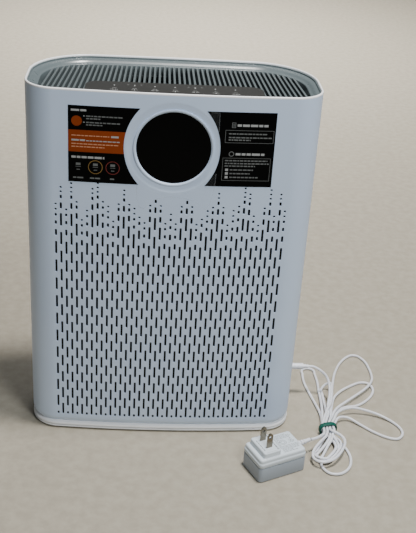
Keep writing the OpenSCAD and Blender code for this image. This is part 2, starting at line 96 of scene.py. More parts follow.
def resample(points, step):
    """The same line with its points evenly spaced, about step apart."""
    run = np.r_[0, np.cumsum(np.linalg.norm(np.diff(points, axis=0), axis=1))]
    even = np.linspace(0, run[-1], int(round(run[-1] / step)) + 1)
    return np.stack([np.interp(even, run, points[:, k]) for k in range(3)], 1)


# ---- Materials ----

GRAIN_DEPTH = 0.0002


def material(name, color, tint, rough, rough_var=0.0, grain=0.0, grain_scale=2500, metal=0.0, spec=0.5,
             subsurface=0.0, shade_scale=18):
    """A moulded or cast surface that drifts from its colour to its tint, with fine grain in its bump."""
    m = bpy.data.materials.new(name)
    m.use_nodes = True
    nt = m.node_tree
    b = nt.nodes["Principled BSDF"]
    b.inputs["Base Color"].default_value = (*color, 1)
    b.inputs["Roughness"].default_value = rough
    b.inputs["Metallic"].default_value = metal
    b.inputs["Specular IOR Level"].default_value = spec
    b.inputs["Subsurface Weight"].default_value = subsurface
    b.inputs["Subsurface Radius"].default_value = (0.002, 0.0015, 0.001)
    coord = nt.nodes.new("ShaderNodeTexCoord")

    def noise(scale, detail):
        n = nt.nodes.new("ShaderNodeTexNoise")
        n.inputs["Scale"].default_value = scale
        n.inputs["Detail"].default_value = detail
        n.inputs["Roughness"].default_value = 0.55
        nt.links.new(coord.outputs["Object"], n.inputs["Vector"])
        return n

    slow = noise(shade_scale, 3)
    ramp = nt.nodes.new("ShaderNodeMapRange")
    ramp.inputs["From Min"].default_value = 0.35
    ramp.inputs["From Max"].default_value = 0.65
    nt.links.new(slow.outputs["Fac"], ramp.inputs["Value"])
    mix = nt.nodes.new("ShaderNodeMix")
    mix.data_type = "RGBA"
    mix.inputs["A"].default_value = (*color, 1)
    mix.inputs["B"].default_value = (*tint, 1)
    nt.links.new(ramp.outputs["Result"], mix.inputs["Factor"])
    nt.links.new(mix.outputs["Result"], b.inputs["Base Color"])
    if rough_var:
        patch = noise(60, 4)
        span = nt.nodes.new("ShaderNodeMapRange")
        span.inputs["From Min"].default_value = 0.3
        span.inputs["From Max"].default_value = 0.7
        span.inputs["To Min"].default_value = rough - rough_var
        span.inputs["To Max"].default_value = rough + rough_var
        nt.links.new(patch.outputs["Fac"], span.inputs["Value"])
        nt.links.new(span.outputs["Result"], b.inputs["Roughness"])
    if grain:
        fine = noise(grain_scale, 2)
        bump = nt.nodes.new("ShaderNodeBump")
        bump.inputs["Strength"].default_value = grain
        bump.inputs["Distance"].default_value = GRAIN_DEPTH
        nt.links.new(fine.outputs["Fac"], bump.inputs["Height"])
        nt.links.new(bump.outputs["Normal"], b.inputs["Normal"])
    return m


shell = material("shell", (0.64, 0.77, 0.97), (0.62, 0.75, 0.955), 0.40,
                 rough_var=0.04, grain=0.10, grain_scale=1400)
rim = material("rim", (0.93, 0.945, 0.96), (0.91, 0.925, 0.945), 0.30,
               rough_var=0.04, grain=0.05, grain_scale=1200)
grey = material("grey", (0.10, 0.122, 0.127), (0.092, 0.112, 0.117), 0.42,
                rough_var=0.05, grain=0.10, grain_scale=1600)
dark = material("dark", (0.045, 0.045, 0.05), (0.035, 0.035, 0.04), 0.5, rough_var=0.05, grain=0.15)
mesh_mat = material("dust_mesh", (0.012, 0.012, 0.014), (0.02, 0.02, 0.022), 0.7,
                    grain=0.6, grain_scale=900)
panel = material("panel", (0.035, 0.035, 0.033), (0.031, 0.031, 0.029), 0.42,
                 rough_var=0.04, grain=0.04, spec=0.2)
icon = material("icon", (0.42, 0.43, 0.43), (0.38, 0.39, 0.39), 0.5, grain=0.05)
glass = material("glass", (0.0015, 0.0016, 0.0018), (0.002, 0.002, 0.0022), 0.12,
                 rough_var=0.03, spec=0.06)
film = material("film", (0.0015, 0.0017, 0.0018), (0.0018, 0.002, 0.0021), 0.35,
                rough_var=0.05, grain=0.05, spec=0.05)
green = material("green", (0.02, 0.10, 0.05), (0.015, 0.08, 0.04), 0.4, grain=0.2)
rubber = material("rubber", (0.03, 0.03, 0.03), (0.04, 0.04, 0.04), 0.75, rough_var=0.05, grain=0.3)
steel = material("steel", (0.55, 0.55, 0.57), (0.5, 0.5, 0.52), 0.3,
                 rough_var=0.08, grain=0.1, metal=1.0)
nickel = material("nickel", (0.25, 0.225, 0.18), (0.21, 0.185, 0.145), 0.25,
                  rough_var=0.08, grain=0.06, metal=1.0)
paper = material("paper", (0.80, 0.79, 0.74), (0.74, 0.73, 0.69), 0.8,
                 grain=0.5, grain_scale=700, subsurface=0.05)
tab = material("tab", (0.05, 0.12, 0.42), (0.04, 0.10, 0.36), 0.8, grain=0.5, grain_scale=900)
cord_white = material("cord_white", (0.74, 0.76, 0.80), (0.74, 0.755, 0.81), 0.33,
                      rough_var=0.05, grain=0.06, subsurface=0.1)
tie_green = material("tie_green", (0.0, 0.085, 0.06), (0.0, 0.06, 0.042), 0.5,
                     grain=0.3, grain_scale=1800, spec=0.3)
adapter = material("adapter", (0.66, 0.73, 0.78), (0.64, 0.71, 0.765), 0.40,
                   rough_var=0.05, grain=0.25, grain_scale=1700)
bowl_grey = material("bowl_grey", (0.115, 0.143, 0.151), (0.107, 0.133, 0.141), 0.30,
                     rough_var=0.05, grain=0.05, grain_scale=1500)
ink_bright = material("ink_bright", (0.40, 0.41, 0.41), (0.36, 0.37, 0.37), 0.5, grain=0.05)
ink_dim = material("ink_dim", (0.16, 0.17, 0.17), (0.13, 0.14, 0.14), 0.5, grain=0.05)
ink_grey = material("ink_grey", (0.22, 0.24, 0.25), (0.19, 0.21, 0.22), 0.5, grain=0.05)
ink_orange = material("ink_orange", (0.27, 0.042, 0.004), (0.24, 0.037, 0.003), 0.45,
                      grain=0.05, spec=0.2)
ink_peach = material("ink_peach", (0.62, 0.30, 0.17), (0.56, 0.26, 0.14), 0.5, grain=0.05)
ink_amber = material("ink_amber", (0.30, 0.17, 0.04), (0.26, 0.15, 0.03), 0.5, grain=0.05)
ink_red = material("ink_red", (0.25, 0.03, 0.025), (0.21, 0.025, 0.02), 0.5, grain=0.05)
clear = material("clear_film", (0.80, 0.86, 0.92), (0.72, 0.78, 0.84), 0.22, rough_var=0.06)
# Painted highlight: a brighter, less clear band for the film's edge, standing in for the light the edge
# catches.
film_edge_painted_highlight = material("film_edge", (0.85, 0.90, 0.95), (0.55, 0.6, 0.66), 0.25,
                      rough_var=0.06, shade_scale=200)
# Painted shade: a dark look for the slot walls, standing in for the shade deep inside the slots.
slot_painted_shade = material("slot_painted_shade", (0.05, 0.065, 0.085), (0.04, 0.052, 0.07), 0.6,
                      rough_var=0.04, spec=0.2)
plinth_white = material("plinth_white", (0.97, 0.98, 1.0), (0.93, 0.95, 0.97), 0.35,
                        rough_var=0.05, grain=0.04)
# Painted shade: a darker copy of the adapter's plastic for the lower case's sides, standing in for the
# shade they lie in.
adapter_lower = material("adapter_lower", (0.40, 0.45, 0.51), (0.36, 0.41, 0.47), 0.45,
                         rough_var=0.05, grain=0.06)
for look, alpha in ((clear, 0.02), (film_edge_painted_highlight, 0.22)):
    look.node_tree.nodes["Principled BSDF"].inputs["Alpha"].default_value = alpha

NODE_LOOKS = {
    shell: ["front_shell", "front_grille", "rear_shell", "rear_cover", "display_ring"],
    rim: ["base_plinth", "top_rim", "left_latch", "right_latch", "filter_frame"],
    grey: ["outlet_bowl", "outlet_slats", "airflow_guide", "fan_deck", "fan_duct", "motor_mount"],
    dark: ["impeller", "air_sensor", "power_jack"],
    mesh_mat: ["inlet_mesh"],
    panel: ["control_panel"],
    icon: ["touch_icons"],
    glass: ["display_window"],
    film: ["left_label", "right_label"],
    green: ["control_board", "display_board", "main_board"],
    rubber: ["rubber_feet", "filter_seal"],
    steel: ["shell_screws", "motor", "motor_shaft"],
    nickel: ["plug_barrel", "adapter_blades"],
    paper: ["front_pleats", "rear_pleats"],
    tab: ["filter_tab"],
    cord_white: ["plug_grip", "cord_lead", "cord_hank", "adapter_lead", "adapter_relief"],
    tie_green: ["twist_tie"],
    adapter: ["adapter_lower", "adapter_upper"],
}
for look, names in NODE_LOOKS.items():
    for name in names:
        nodes[name].data.materials.clear()
        nodes[name].data.materials.append(look)


# ---- Shape helpers ----

def shaped(name, verts, faces, look, normals=None, smooth=True, shade=None):
    """A mesh of points in millimetres on the housing; shade is a second, darker look used as painted shade,
    and the faces that have it.
    """
    mesh = bpy.data.meshes.new(name)
    mesh.from_pydata([tuple(v) for v in np.asarray(verts, float) * MM], [], faces)
    mesh.materials.append(look)
    if shade:
        mesh.materials.append(shade[0])
        for k in shade[1]:
            mesh.polygons[k].material_index = 1
    mesh.validate()
    if smooth:
        mesh.polygons.foreach_set("use_smooth", [True] * len(mesh.polygons))
    if normals is not None:
        mesh.normals_split_custom_set_from_vertices([tuple(n) for n in normals])
    obj = link(name, mesh)
    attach(obj, "housing")
    return obj


def ring_faces(count, n, closed, first=0):
    """Quads between count rings of n points each."""
    faces = []
    for r in range(count if closed else count - 1):
        a, b = first + r * n, first + ((r + 1) % count) * n
        faces += [(a + k, a + (k + 1) % n, b + (k + 1) % n, b + k) for k in range(n)]
    return faces


def auto_smooth(obj, angle):
    """Keeps edges sharper than the angle, and shades the rest smooth."""
    mesh = obj.data
    bm = bmesh.new()
    bm.from_mesh(mesh)
    bmesh.ops.recalc_face_normals(bm, faces=bm.faces)
    for e in bm.edges:
        e.smooth = e.calc_face_angle(0) < math.radians(angle)
    bm.to_mesh(mesh)
    bm.free()


def bar(x0, x1, y0, y1):
    return [(x0, y0), (x1, y0), (x1, y1), (x0, y1)]


def bevelled(name, width):
    """Softens the edges of a CAD node's picture without touching its mesh."""
    mod = nodes[name].modifiers.new("soft_edges", "BEVEL")
    mod.width, mod.segments = width * MM, 2
    mod.limit_method, mod.angle_limit = "ANGLE", math.radians(40)
    mod.harden_normals = True


# ---- Body outline ----

HALF_W, HALF_D = 139.5, 61.5
FRONT_R, BACK_R, FRONT_CORNER, REAR_CORNER = 1400.0, 2500.0, 30.0, 62.0
FRONT_CX, REAR_CX = HALF_W - FRONT_CORNER, HALF_W - REAR_CORNER
FRONT_CY = FRONT_R - HALF_D - math.sqrt((FRONT_R - FRONT_CORNER) ** 2 - FRONT_CX ** 2)
REAR_CY = HALF_D - BACK_R + math.sqrt((BACK_R - REAR_CORNER) ** 2 - REAR_CX ** 2)
FRONT_TURN = math.atan2(FRONT_CX, FRONT_R - HALF_D - FRONT_CY)
BACK_TURN = math.atan2(REAR_CX, REAR_CY - HALF_D + BACK_R)
SHELL_Z0, SHELL_Z1 = 9.4, 374.2
SPLIT_Y = 14.0


def outline(inset):
    """The body's plan, drawn inset inside its skin, from the middle of the front round by the right."""
    half = []
    for t in np.linspace(0, FRONT_TURN, 26):
        r = FRONT_R - inset
        half.append((r * math.sin(t), FRONT_R - HALF_D - r * math.cos(t)))
    for t in np.linspace(FRONT_TURN - math.pi / 2, 0, 22)[1:]:
        r = FRONT_CORNER - inset
        half.append((FRONT_CX + r * math.cos(t), FRONT_CY + r * math.sin(t)))
    for t in np.linspace(0, math.pi / 2 - BACK_TURN, 34):
        r = REAR_CORNER - inset
        half.append((REAR_CX + r * math.cos(t), REAR_CY + r * math.sin(t)))
    for t in np.linspace(BACK_TURN, 0, 14)[1:]:
        r = BACK_R - inset
        half.append((r * math.sin(t), HALF_D - BACK_R + r * math.cos(t)))
    left = [(-x, y) for x, y in reversed(half[1:-1])]
    return np.array(half + left)


ARC_END = FRONT_R * FRONT_TURN
CORNER_END = ARC_END + FRONT_CORNER * (math.pi / 2 - FRONT_TURN)


def wrap(u, z, depth=0.0):
    """The point at arc length u along the front, at height z and depth inside the skin, and its way out."""
    s, side = abs(u), (1 if u >= 0 else -1)
    if s <= ARC_END:
        t = s / FRONT_R
        n = (math.sin(t), -math.cos(t))
        p = ((FRONT_R - depth) * n[0], FRONT_R - HALF_D + (FRONT_R - depth) * n[1])
    elif s <= CORNER_END:
        t = FRONT_TURN - math.pi / 2 + (s - ARC_END) / FRONT_CORNER
        n = (math.cos(t), math.sin(t))
        p = (FRONT_CX + (FRONT_CORNER - depth) * n[0], FRONT_CY + (FRONT_CORNER - depth) * n[1])
    else:
        n = (1.0, 0.0)
        p = (HALF_W - depth, FRONT_CY + s - CORNER_END)
    return (side * p[0], p[1], z), (side * n[0], n[1], 0.0)


def loft_outline(name, profile, look):
    """A closed section (inset, height) carried round the body's outline."""
    rings = [np.column_stack([outline(i), np.full(len(outline(i)), z)]) for i, z in profile]
    n = len(rings[0])
    obj = shaped(name, np.vstack(rings), ring_faces(len(rings), n, True), look)
    auto_smooth(obj, 50)
    return obj


# ---- Front shell with its slots ----

# Slots stand in columns, SIDE_COLS to each side of the middle one. Heights along a column are counted in
# rows of ROW_HALF, from FIRST_ROW up, and a full slot is FULL rows long.
COL_PITCH, SIDE_COLS, SLOT_W, ROW_HALF, FIRST_ROW = 5.0, 22, 2.0, 10.0, 26.0
FULL = 1.33
SLOT_CORNER, SLOT_STEPS = 0.75, 4
FOOT_DOT = (-0.54, 0.3)
# The shorter slots that a column ends in: each kind's length, and the gap under it, in rows.
PIECE = {"L": (1.6, 0.6), "f": (1.33, 0.55), "N": (0.96, 0.65), "M": (0.63, 0.65), "m": (0.37, 0.55),
         "s": (0.27, 0.5), "d": (0.18, 0.36)}
# From the middle column outwards: the row of its last full slot, and the kinds above that. The kinds stand
# closer together in a column that goes past TALL, and above an f.
TALL, TALL_GAP = 20, 0.75
LAST_ROW = [19, 18, 21, 22, 21, 18, 19, 18, 21, 22, 21, 18, 19, 20, 19, 22, 19, 18, 21, 22, 19, 22, 19]
TAILS = ["Mmsd", "Mmsd", "Mmd", "Mm", "Mmd", "Mmsd", "Nmd", "Lmsdd", "Mmd", "Mmdd", "Mmd", "Mmsd",
         "Mmsdd", "Mmsd", "MfMmddd", "Mmdd", "Mmsd", "Mmsd", "Mmd", "Mmddd", "Mmsd", "Mmdd", "Mmsdd"]
# The lower edge turns in by CURL_IN over CURL_H, and less over the last CURL_FADE beside the seam. Its
# shading leans down by up to CURL_LEAN.
CURL_H, CURL_IN, CURL_FADE, CURL_LEAN = 6.5, 2.4, 20, 0.8
WALL, SLOT_LIP = 2.5, 0.28
DISPLAY_Z, DISH_R = 323.6, 45.0
# The rounded lip of a slot, from the skin to the back: (growth of the slot, depth, lean of the surface).
LIP_SECTION = [(SLOT_LIP, 0.0, 0.0), (0.6 * SLOT_LIP, 0.07, 0.55), (0.2 * SLOT_LIP, 0.2, 0.85),
               (0.0, 0.45, 1.0), (0.0, WALL, 1.0)]
# The shallow dish round the display: (radius, depth, lean of the surface).
DISH_SECTION = [(DISH_R, 0.0, 0.0), (DISH_R - 0.7, 0.02, 0.05), (DISH_R - 1.6, 0.12, 0.16),
                (42.0, 0.33, 0.12), (40.0, 0.55, 0.1), (38.6, 0.7, 0.06), (37.7, 0.74, 0.0),
                (37.45, 0.74, 0.0), (37.4, 1.6, 0.0)]


def column(c):
    """The slots of one column, as (centre height, length)."""
    k = abs(c)
    last, odd = LAST_ROW[k], k % 2
    out = [] if odd else [FOOT_DOT]
    out += [(v, FULL) for v in range(1 - odd, last + 1, 2)]
    at, tall = last + FULL / 2, last > TALL
    for kind in TAILS[k]:
        size, gap = PIECE[kind]
        gap *= TALL_GAP if tall else 1
        out.append((at + gap + size / 2, size))
        at += gap + size
        tall = tall or kind == "f"
    return [(FIRST_ROW + v * ROW_HALF, h * ROW_HALF) for v, h in out]


def slot_ring(z, h, grow):
    """Points round a slot with round corners, in its own plane, and the way out from its middle at each."""
    w, t = SLOT_W / 2, h / 2
    r = min(SLOT_CORNER, w, t)
    pts, outs = [], []
    for q, (side, end) in enumerate(((1, 1), (-1, 1), (-1, -1), (1, -1))):
        for k in range(SLOT_STEPS):
            a = math.pi / 2 * (q + k / (SLOT_STEPS - 1))
            c, s = math.cos(a), math.sin(a)
            pts.append((side * (w - r) + (r + grow) * c, z + end * (t - r) + (r + grow) * s))
            outs.append((c, s))
    return pts, outs


def lower_curl(u, z, u_end):
    """How far the front's lower edge turns in at a point, and how much its surface looks down there."""
    t = max(0.0, 1 - (z - SHELL_Z0) / CURL_H) * min(1.0, (u_end - abs(u)) / CURL_FADE)
    return CURL_IN * t * t, t


def all_slots():
    """Every slot of the front, as (u, centre height, length)."""
    slots = []
    for c in range(-SIDE_COLS, SIDE_COLS + 1):
        u = FRONT_R * math.asin(c * COL_PITCH / FRONT_R)
        slots += [(u, z, h) for z, h in column(c)]
    return slots


def is_open(u, z, by_col):
    """Whether a point of the flat layout is in the display's dish or in a slot."""
    if u * u + (z - DISPLAY_Z) ** 2 < (DISH_R - 0.1) ** 2:
        return True
    grown = SLOT_LIP - 0.02
    for u0, z0, h in by_col.get(round(u / COL_PITCH), []):
        if abs(u - u0) < SLOT_W / 2 + grown and abs(z - z0) < h / 2 + grown:
            return True
    return False


def front_shell():
    """The front as one moulding: its skin is laid out flat, cut into triangles round its slots and bent."""
    u_end = CORNER_END + SPLIT_Y - FRONT_CY
    flat, edges, home = [], [], []

    def add_chain(points, closed, inner=None):
        """Adds a line to the flat layout; inner gives its points' places on the back of the wall."""
        first = len(flat)
        flat.extend(points)
        home.extend(inner if inner is not None else points)
        n = len(points)
        edges.extend((first + k, first + (k + 1) % n) for k in range(n if closed else n - 1))

    rows = np.linspace(SHELL_Z0, SHELL_Z1, 25)
    add_chain([(-u_end, SHELL_Z0), (u_end, SHELL_Z0), (u_end, SHELL_Z1), (-u_end, SHELL_Z1)], True)
    corner = list(np.linspace(ARC_END - 1, CORNER_END, 34)) + [CORNER_END + 10, CORNER_END + 25]
    bends = [s * u for s in (-1, 1) for u in corner]
    bends += [COL_PITCH * (c + 0.5) for c in range(-SIDE_COLS - 1, SIDE_COLS + 1)]
    for u in bends:
        spans = [(SHELL_Z0, SHELL_Z1)]
        if abs(u) < DISH_R + 2:
            gap = math.sqrt((DISH_R + 2) ** 2 - u * u)
            spans = [(SHELL_Z0, DISPLAY_Z - gap), (DISPLAY_Z + gap, SHELL_Z1)]
        for z0, z1 in spans:
            inside = [z for z in rows if z0 + 4 < z < z1 - 3]
            if z0 == SHELL_Z0:
                inside = [z0 + CURL_H * q for q in (0.12, 0.27, 0.45, 0.68, 1.0)] + inside
            add_chain([(u, z) for z in [z0] + inside + [z1]], False)
    slots = all_slots()
    by_col = {}
    for u0, z, h in slots:
        by_col.setdefault(round(u0 / COL_PITCH), []).append((u0, z, h))
        outer, inner = ([(u0 + a, b) for a, b in slot_ring(z, h, grow)[0]] for grow in (SLOT_LIP, 0))
        add_chain(outer, True, inner)
    turn = np.linspace(0, 2 * math.pi, 97)[:-1]
    add_chain([(DISH_R * math.cos(a), DISPLAY_Z + DISH_R * math.sin(a)) for a in turn], True)
    cdt = mathutils.geometry.delaunay_2d_cdt([Vector(p) for p in flat], edges, [], 0, 1e-5)
    pts = [tuple(v) for v in cdt[0]]
    keep = []
    for f in cdt[2]:
        u, z = sum(pts[k][0] for k in f) / 3, sum(pts[k][1] for k in f) / 3
        if not is_open(u, z, by_col):
            keep.append(tuple(f))
    verts, normals, faces = [], [], []

    def put(u, z, depth, normal):
        verts.append(wrap(u, z, depth)[0])
        normals.append(normal)
        return len(verts) - 1

    for u, z in pts:
        depth, dip = lower_curl(u, z, u_end)
        n = wrap(u, z)[1]
        lean = CURL_LEAN * dip
        level = math.sqrt(1 - lean * lean)
        put(u, z, depth, (n[0] * level, n[1] * level, -lean))
    for f in keep:
        a, b, c = (pts[k] for k in f)
        spin = (b[0] - a[0]) * (c[1] - a[1]) - (b[1] - a[1]) * (c[0] - a[0])
        faces.append(f if spin > 0 else f[::-1])
    # The back of the wall, with the slots at their full size.
    back = len(verts)
    for k, (u, z) in enumerate(pts):
        src = cdt[3][k]
        hu, hz = home[src[0]] if src else (u, z)
        p, n = wrap(hu, hz, WALL)
        verts.append(p)
        normals.append((-n[0], -n[1], 0))
    faces += [tuple(back + k for k in reversed(f)) for f in faces[:len(keep)]]
    # Each slot's rounded lip and its walls, which lie in shade; the walls are coloured dark as painted
    # shade.
    walls = []
    for u0, z, h in slots:
        first = len(verts)
        for grow, depth, lean in LIP_SECTION:
            for (a, b), (oa, ob) in zip(*slot_ring(z, h, grow)):
                _, n = wrap(u0 + a, b)
                flat_way = np.array([oa * n[1], -oa * n[0], -ob])
                v = (1 - lean) * np.array(n) + lean * flat_way
                put(u0 + a, b, depth, tuple(v / np.linalg.norm(v)))
        faces += ring_faces(len(LIP_SECTION), 4 * SLOT_STEPS, False, first)
        walls += range(len(faces) - 4 * SLOT_STEPS, len(faces))
    # The shallow dish round the display, with a soft edge.
    first = len(verts)
    for r, depth, lean in DISH_SECTION:
        for a in turn:
            u, z = r * math.cos(a), DISPLAY_Z + r * math.sin(a)
            _, n = wrap(u, z)
            v = np.array(n) + lean * np.array([-math.cos(a), 0, -math.sin(a)])
            put(u, z, depth, tuple(v / np.linalg.norm(v)))
    faces += ring_faces(len(DISH_SECTION), len(turn), False, first)
    # The four outer edges.
    us = sorted({-u_end, u_end} | {round(b, 4) for b in bends if abs(b) <= u_end})
    for z, way in ((SHELL_Z0, -1), (SHELL_Z1, 1)):
        first = len(verts)
        for u in us:
            for depth in (lower_curl(u, z, u_end)[0], WALL):
                put(u, z, depth, (0, 0, way))
        for k in range(len(us) - 1):
            q = (first + 2 * k, first + 2 * k + 1, first + 2 * k + 3, first + 2 * k + 2)
            faces.append(q if way < 0 else q[::-1])
    for s in (-1, 1):
        rim_points = ((SHELL_Z0, 0), (SHELL_Z0, WALL), (SHELL_Z1, WALL), (SHELL_Z1, 0))
        faces.append(tuple(put(s * u_end, z, d, (0, 1, 0)) for z, d in rim_points))
    obj = shaped("front_moulding", verts, faces, shell, normals=normals,
                 shade=(slot_painted_shade, walls))
    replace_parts(obj, "front_shell", "front_grille")


# ---- Plinth and top ----

# Sections are (inset, height). The plinth has a lower band, a groove, a rounded band that bulges out
# under the shells, the lip behind the shells, and a tray.
PLINTH_SECTION = [
    (1.2, 2.0), (0.5, 2.1), (0.25, 2.45), (0.25, 3.3), (0.5, 3.6), (1.5, 3.75), (1.5, 4.55), (0.6, 4.7),
    (0.15, 5.0), (0.0, 5.5), (0.05, 6.3), (0.4, 7.2), (1.1, 8.1), (2.0, 8.8), (2.6, 9.1), (2.6, 12.5),
    (5.0, 12.5), (5.0, 5.0)]
RIM_SECTION = [
    (0.02, 374.2), (0.0, 375.1), (0.1, 375.5), (0.35, 375.8), (0.75, 375.97), (1.2, 376.0), (1.6, 375.9),
    (1.9, 375.6), (2.1, 375.1), (2.15, 374.3), (3.05, 374.2), (3.05, 369.3), (2.55, 369.3), (2.55, 374.1)]
THROAT_SECTION = [
    (2.16, 374.6), (2.25, 373.9), (2.6, 373.3), (3.2, 372.9), (4.0, 372.6), (4.9, 372.35), (5.9, 372.05),
    (6.8, 371.6), (7.6, 371.0), (8.4, 370.2), (9.4, 369.5), (10.5, 369.1), (11.2, 368.8), (11.4, 368.2),
    (11.6, 362), (11.8, 353), (9.8, 353), (4.6, 369.2), (3.15, 372.4), (3.1, 374.25)]
RAIL_X, RAIL_W, RAIL_Y, RAIL_Z = 80, 4, (-48, 42), (4.5, 13.7)


def plinth_rim():
    """The foot's rim with the tray inside it, and the two rails that carry the filter."""
    verts = [(x, y, z) for inset, z in PLINTH_SECTION for x, y in outline(inset)]
    n = len(verts) // len(PLINTH_SECTION)
    faces = ring_faces(len(PLINTH_SECTION), n, False)
    faces += [tuple(reversed(range(n))), tuple(range(len(verts) - n, len(verts)))]
    for side in (-1, 1):
        k = len(verts)
        plan = bar(side * RAIL_X - RAIL_W / 2, side * RAIL_X + RAIL_W / 2, *RAIL_Y)
        verts += [(x, y, z) for z in RAIL_Z for x, y in plan]
        faces += [(k, k + 3, k + 2, k + 1), (k + 4, k + 5, k + 6, k + 7)]
        faces += [(k + i, k + (i + 1) % 4, k + 4 + (i + 1) % 4, k + 4 + i) for i in range(4)]
    obj = shaped("plinth_rim", verts, faces, plinth_white)
    auto_smooth(obj, 32)
    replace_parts(obj, "base_plinth")


def top_parts():
    """The white rim, and the throat that leads from it down to the slats."""
    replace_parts(loft_outline("rim_lip", RIM_SECTION, rim), "top_rim")
    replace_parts(loft_outline("outlet_throat", THROAT_SECTION, bowl_grey), "outlet_bowl")


# ---- Printed marks and the clear film ----

# Depths inside the skin, which are negative in front of it.
BAND_AT, INK_AT, BAND_INK_AT, FILM_AT = -0.23, -0.24, -0.26, -0.42
LABEL_X0 = -97.5
# The left label's orange band, whose inner end follows a circle beside the display, and its disc.
BAND_Z0, BAND_Z1, BAND_R, BAND_CX = 316.4, 337.7, 55.3, 9
DISC_X, DISC_Z, DISC_R = -89.7, 346.4, 4.9


def print_marks(name, marks, look, depth):
    """Flat printed bars on the front, (x0, x1, z0, z1), cut in short steps that follow the bow."""
    verts, faces, normals = [], [], []
    for x0, x1, z0, z1 in marks:
        steps = max(1, int(math.ceil((x1 - x0) / 6)))
        first = len(verts)
        for x in np.linspace(x0, x1, steps + 1):
            for z in (z0, z1):
                p, n = wrap(x, z, depth)
                verts.append(p)
                normals.append(n)
        faces += [tuple(first + 2 * k + c for c in (0, 2, 3, 1)) for k in range(steps)]
    shaped(name, verts, faces, look, normals=normals)


def words(x0, x1, z, h, rng, long=4.2):
    """A line of plain bars, broken like words."""
    out, x = [], x0
    while x < x1 - 0.8:
        w = min(rng.uniform(0.35, 1.0) * long, x1 - x)
        out.append((x, x + w, z - h / 2, z + h / 2))
        x += w + 0.28 * h + 0.35
    return out


def arc_marks(x, z, r, width, a0=0, a1=360, n=28):
    """A ring, or part of one, as a row of short quads."""
    near, far = r - width / 2, r + width / 2
    out = []
    for k in range(n):
        a, b = (math.radians(a0 + (a1 - a0) * t / n) for t in (k, k + 1))
        corners = ((near, a), (far, a), (far, b), (near, b))
        out.append([(x + q * math.cos(t), z + q * math.sin(t)) for q, t in corners])
    return out


def print_quads(name, quads, look, depth):
    """Printed quads on the front, each a list of four (x, z) corners."""
    verts, normals = [], []
    for q in quads:
        for x, z in q:
            p, n = wrap(x, z, depth)
            verts.append(p)
            normals.append(n)
    faces = [tuple(range(4 * k, 4 * k + 4)) for k in range(len(quads))]
    shaped(name, verts, faces, look, normals=normals)


